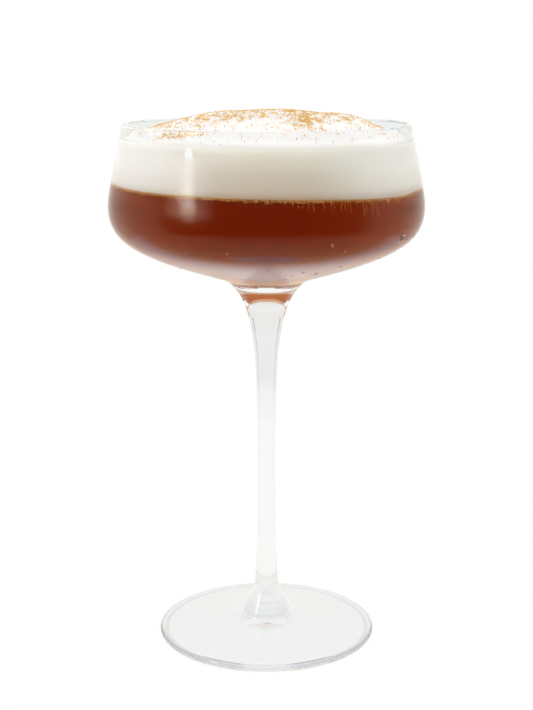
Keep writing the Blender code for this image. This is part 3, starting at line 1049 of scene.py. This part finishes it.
def single_run():
    """One hanging thread of foam with a bead at its end, to be copied.

    The thread is one unit long. The bead is modelled from two units down, in thread radii.
    """
    deselect_all()
    bpy.ops.mesh.primitive_circle_add(
        vertices=4, radius=1.0, fill_type="NGON", location=(0.0, 0.0, 0.0)
    )
    run = bpy.context.object
    bpy.ops.object.mode_set(mode="EDIT")
    bpy.ops.mesh.select_all(action="SELECT")
    depth, width = 0.0, 1.0
    for after, wide in RUN_SECTIONS:
        bpy.ops.mesh.extrude_region_move(TRANSFORM_OT_translate={"value": (0.0, 0.0, depth - after)})
        bpy.ops.transform.resize(value=(wide / width, wide / width, 1.0))
        depth, width = after, wide
    bpy.ops.mesh.select_all(action="SELECT")
    bpy.ops.mesh.normals_make_consistent(inside=False)
    bpy.ops.object.mode_set(mode="OBJECT")
    return run


def placed_run(mesh, angle, length, radius, lean, phase):
    """Stretches a copy of the run to its length and lays it, leaning, on the inside of the wall."""
    x, y = RUN_WALL_RADIUS * math.cos(angle), RUN_WALL_RADIUS * math.sin(angle)
    start = line_height(x, y) + RUN_ABOVE_LINE
    outward = at_angle(angle, 1.0)
    sideways = Vector((-math.sin(angle), math.cos(angle), 0.0))
    for vertex in mesh.vertices:
        across, along, depth = vertex.co.x * radius, vertex.co.y * radius, -vertex.co.z
        if depth > 1.5:
            drop = length + (depth - 2.0 - RUN_BEAD) * radius
        else:
            drop = depth * max(length - RUN_BEAD * radius, 0.05)
        height = start - drop
        reach = radius_at(INNER_WALL, height) - 0.7 * radius
        across += lean * drop + RUN_WAVE * (math.sin(3.0 * drop + phase) - math.sin(phase))
        vertex.co = (outward * (reach + along) + sideways * across + Vector((0.0, 0.0, height))) * MM


class COCKTAIL_OT_runs(bpy.types.Operator):
    """Hangs thin runs of foam into the drink along the inside of the glass"""

    bl_idname = "cocktail.runs"
    bl_label = "Foam runs"

    def execute(self, context):
        sizes = context.scene.cocktail_sizes
        chance = random.Random(RUN_SEED)
        runs = []
        for x, length in LONG_RUNS:
            angle = -math.acos(x / RUN_WALL_RADIUS)
            runs.append((angle, length, chance.uniform(*LONG_RUN_RADIUS)))
        for number in range(RUN_COUNT):
            angle = chance.uniform(-math.pi, math.pi)
            share = 1.0 if RUN_LONG_SIDE[0] < angle < RUN_LONG_SIDE[1] else RUN_SHORT_SHARE
            share *= 0.7 + 0.6 * noise.noise(at_angle(angle, 9.0))
            length = RUN_LENGTH[0] + chance.random() ** 2.0 * share * RUN_LENGTH[1]
            runs.append((angle, length, chance.uniform(*RUN_RADIUS)))
        fray = random.Random(FRINGE_SEED)
        for number in range(FRINGE_COUNT):
            angle = fray.uniform(-math.pi, math.pi)
            tooth = 0.45 + noise.noise(at_angle(angle, 55.0, 3.0))
            length = FRINGE_LENGTH[0] + max(tooth, 0.0) * FRINGE_LENGTH[1]
            runs.append((angle, length, fray.uniform(*FRINGE_RADIUS)))
        source = single_run()
        meshes = []
        for angle, length, radius in runs:
            mesh = source.data.copy()
            lean = chance.uniform(-RUN_LEAN, RUN_LEAN) / max(length, 1.0)
            phase = chance.uniform(0.0, RUN_PHASE)
            placed_run(mesh, angle, length + RUN_ABOVE_LINE, radius, lean, phase)
            meshes.append(mesh)
        joined = joined_piece("foam_runs", meshes)
        bpy.data.objects.remove(source)
        select_only(joined)
        bpy.ops.mesh.customdata_custom_splitnormals_clear()
        bpy.ops.object.shade_smooth()
        finish_piece(joined, None, "white_foam", run_material(sizes.run_colour))
        return {"FINISHED"}


class COCKTAIL_OT_drops(bpy.types.Operator):
    """Beads water on the outside of the cold bowl"""

    bl_idname = "cocktail.drops"
    bl_label = "Water drops"

    def execute(self, context):
        deselect_all()
        bpy.ops.mesh.primitive_ico_sphere_add(subdivisions=2, radius=1.0, location=(0.0, 0.0, 0.0))
        drop = bpy.context.object
        chance = random.Random(DROP_SEED)
        beads = []
        for x, height, radius in LARGE_DROPS:
            reach = radius_at(OUTER_WALL, height)
            beads.append((math.atan2(-math.sqrt(max(reach**2 - x * x, 1.0)), x), height, radius))
        for number in range(DROP_COUNT):
            height = chance.uniform(*DROP_HEIGHTS)
            angle = chance.uniform(-math.pi, math.pi)
            beads.append((angle, height, DROP_RADIUS[0] + DROP_RADIUS[1] * chance.random() ** 3))
        places = []
        for angle, height, radius in beads:
            reach = radius_at(OUTER_WALL, height)
            below = radius_at(OUTER_WALL, height - 0.3)
            slope = math.atan2(reach - below, 0.3)
            place = at_angle(angle, reach, height) * MM
            turn = Euler((0.0, math.pi / 2.0 + slope, angle))
            scale = Vector(DROP_FORM) * radius * MM
            places.append(Matrix.LocRotScale(place, turn, scale))
        drops = copied_piece("water_drops", drop, places)
        bpy.ops.object.shade_smooth()
        water = glass_material("beaded_water", (0.97, 0.98, 0.98), WATER_IOR, 1500.0, 0.2)
        finish_piece(drops, None, "clear_glass", water)
        return {"FINISHED"}


class COCKTAIL_OT_stage(bpy.types.Operator):
    """Sets the pale floor, the soft light and the camera"""

    bl_idname = "cocktail.stage"
    bl_label = "Stage"

    def execute(self, context):
        add_floor()
        add_sky(context.scene)
        add_strip()
        add_flags()
        add_camera(context.scene)
        context.scene.view_settings.view_transform = "Standard"
        context.scene.cycles.transmission_bounces = 24
        context.scene.cycles.glossy_bounces = 24
        context.scene.cycles.max_bounces = 32
        context.scene.cycles.transparent_max_bounces = 16
        return {"FINISHED"}


def ray_level(tree, camera, through, mirrored, scattered):
    """A brightness for each kind of ray: straight, through glass, mirrored and scattered."""
    path = add_node(tree, "ShaderNodeLightPath").outputs
    choices = (
        (path["Is Transmission Ray"], through),
        (calculate(tree, "GREATER_THAN", path["Diffuse Depth"], 0.5), scattered),
        (path["Is Camera Ray"], camera),
    )
    level = mirrored
    for factor, colour in choices:
        level = mix_colours(tree, factor, level, colour)
    return level


def add_floor():
    """A small pale table, mirrored in the bowl with painted light: the warm light that the drink throws
    forward.
    """
    deselect_all()
    bpy.ops.mesh.primitive_circle_add(
        vertices=128, radius=TABLE_RADIUS, fill_type="NGON", location=(0.0, 0.0, TABLE_HEIGHT)
    )
    floor = bpy.context.object
    floor.name = "pale_floor"
    plain = {"Specular IOR Level": 0.0, "Emission Strength": 1.0}
    material, tree, shader = new_material("pale_floor", (0.14, 0.14, 0.14), 0.8, plain)
    place, (x, y, z) = place_parts(tree)
    along = ramp_colours(tree, y, PAINTED_TABLE_LIGHT, -TABLE_RADIUS, TABLE_RADIUS)
    aside = calculate(tree, "ABSOLUTE", x)
    across = ramp_colours(tree, aside, PAINTED_TABLE_LIGHT_SIDES, 0.0, TABLE_RADIUS)
    mirrored = combine(tree, "MULTIPLY", along, across)
    away = combine(tree, "LENGTH", place)
    through = ramp_colours(tree, away, TABLE_UNDER_FOOT, 0.0, UNDER_FOOT_RADIUS)
    level = ray_level(tree, (0.9, 0.9, 0.9), through, mirrored, (0.7, 0.7, 0.7))
    set_inputs(tree, shader, {"Emission Color": level})
    floor.data.materials.append(material)


def add_sky(scene):
    """A white surround: mirrored rays find the camera's side dark, scattered ones find soft light."""
    world = bpy.data.worlds.new("studio")
    scene.world = world
    world.use_nodes = True
    tree = world.node_tree
    tree.nodes.clear()
    toward, (x, y, z) = place_parts(tree, "Generated")
    room = ramp_colours(tree, y, MIRRORED_ROOM)
    top = ramp_colours(tree, z, ((0.0, 0.0), (1.0, 1.6)), 0.6, 0.95)
    above = ramp_colours(tree, z, MIRRORED_ABOVE)
    in_front = ramp_colours(tree, y, ((0.0, 1.0), (0.4, 1.0), (0.5, 0.0)))
    mirrored = combine(tree, "ADD", room, top)
    mirrored = combine(tree, "ADD", mirrored, combine(tree, "MULTIPLY", above, in_front))
    soft = ramp_colours(tree, y, SOFT_ROOM)
    soft = combine(tree, "MULTIPLY", soft, ramp_colours(tree, z, SOFT_FADE))
    soft = combine(tree, "MULTIPLY", soft, ramp_colours(tree, x, SOFT_SIDES))
    to_lamp = combine(tree, "DOT_PRODUCT", toward, LAMP_DIRECTION)
    lamp = ramp_colours(tree, to_lamp, ((0.0, 0.0), (1.0, LAMP_LIGHT)), LAMP_EDGE)
    soft = combine(tree, "ADD", soft, lamp)
    behind = ramp_colours(tree, z, ROOM_BEHIND, *ROOM_BEHIND_RANGE)
    level = ray_level(tree, (1.0, 1.0, 1.0), behind, mirrored, soft)
    light = add_node(tree, "ShaderNodeBackground", {"Color": level})
    add_node(tree, "ShaderNodeOutputWorld", {"Surface": light.outputs["Background"]})


def glowing_card(name, distance, corners, upwards, across=((0.0, 1.0), (1.0, 1.0)), seen_through=False):
    """A card that shines by its height and width, and that no camera sees.

    Each corner is an angle to the left of the camera's side, in degrees, and a height.
    """
    deselect_all()
    bpy.ops.mesh.primitive_plane_add(size=1.0, location=(0.0, 0.0, 0.0))
    card = bpy.context.object
    card.name = name
    for vertex, (degrees, height) in zip(card.data.vertices, corners):
        angle = math.radians(degrees)
        vertex.co = (-math.sin(angle) * distance, -math.cos(angle) * distance, height)
    card.visible_camera = False
    card.visible_diffuse = False
    card.visible_transmission = seen_through
    material = bpy.data.materials.new(name)
    material.use_nodes = True
    tree = material.node_tree
    tree.nodes.clear()
    x, y, z = place_parts(tree, "UV")[1]
    heights = ramp_colours(tree, y, upwards, 0.0)
    widths = ramp_colours(tree, x, across, 0.0)
    glow = add_node(tree, "ShaderNodeEmission", {"Color": combine(tree, "MULTIPLY", heights, widths)})
    add_node(tree, "ShaderNodeOutputMaterial", {"Surface": glow.outputs["Emission"]})
    card.data.materials.append(material)
    return card


def add_strip():
    """The narrow tall light that streaks the bowl, with its upper corners rounded, and its halo."""
    card = glowing_card("strip_light", STRIP_DISTANCE, STRIP_CORNERS, STRIP_GLOW)
    edit_parts(card.data.vertices, lambda vertex: vertex.co.z > 0.3)
    bpy.ops.mesh.bevel(offset=STRIP_ROUNDING, segments=5, affect="VERTICES")
    bpy.ops.object.mode_set(mode="OBJECT")
    glowing_card("strip_end", STRIP_DISTANCE, STRIP_END_CORNERS, STRIP_END_GLOW)
    glowing_card("strip_halo", HALO_DISTANCE, HALO_CORNERS, HALO_GLOW, HALO_ACROSS)


def add_flags():
    """Two grey cards behind the stem, seen only through the glass, that line its edges."""
    for side in (-1.0, 1.0):
        corners = [
            (180.0 + side * angle, height) for height in FLAG_HEIGHTS for angle in FLAG_ANGLES
        ]
        card = glowing_card("grey_flag", FLAG_DISTANCE, corners, FLAG_GLOW, FLAG_ACROSS, seen_through=True)
        card.visible_glossy = False
        card.visible_shadow = False


def add_camera(scene):
    """The photograph's camera, a little above the rim."""
    data = bpy.data.cameras.new("photo_camera")
    data.sensor_width = 36.0
    data.lens = CAMERA_LENS
    data.clip_start = 0.01
    data.clip_end = 20.0
    camera = bpy.data.objects.new("photo_camera", data)
    camera.location = (0.0, -CAMERA_DISTANCE, CAMERA_HEIGHT)
    camera.rotation_euler = (math.radians(90.0 - CAMERA_PITCH), 0.0, 0.0)
    scene.collection.objects.link(camera)
    scene.camera = camera


class COCKTAIL_PT_panel(bpy.types.Panel):
    """Lists the cocktail's pieces in the 3D view's sidebar"""

    bl_label = "Pumpkin manhattan cocktail"
    bl_idname = "COCKTAIL_PT_panel"
    bl_space_type = "VIEW_3D"
    bl_region_type = "UI"
    bl_category = "Cocktail"

    def draw(self, context):
        layout = self.layout
        for operator in OPERATORS:
            layout.operator(operator.bl_idname)
        sizes = context.scene.cocktail_sizes
        for name in CocktailSizes.__annotations__:
            layout.prop(sizes, name)


OPERATORS = (
    COCKTAIL_OT_glass,
    COCKTAIL_OT_drink,
    COCKTAIL_OT_foam,
    COCKTAIL_OT_cinnamon,
    COCKTAIL_OT_runs,
    COCKTAIL_OT_drops,
    COCKTAIL_OT_stage,
)
CLASSES = (CocktailSizes, *OPERATORS, COCKTAIL_PT_panel)


def register():
    for cls in CLASSES:
        bpy.utils.register_class(cls)
    bpy.types.Scene.cocktail_sizes = PointerProperty(type=CocktailSizes)


def unregister():
    del bpy.types.Scene.cocktail_sizes
    for cls in reversed(CLASSES):
        bpy.utils.unregister_class(cls)


def main():
    register()
    bpy.ops.cocktail.glass()
    bpy.ops.cocktail.drink()
    bpy.ops.cocktail.foam()
    bpy.ops.cocktail.cinnamon()
    bpy.ops.cocktail.runs()
    bpy.ops.cocktail.drops()
    bpy.ops.cocktail.stage()


if __name__ == "__main__":
    main()
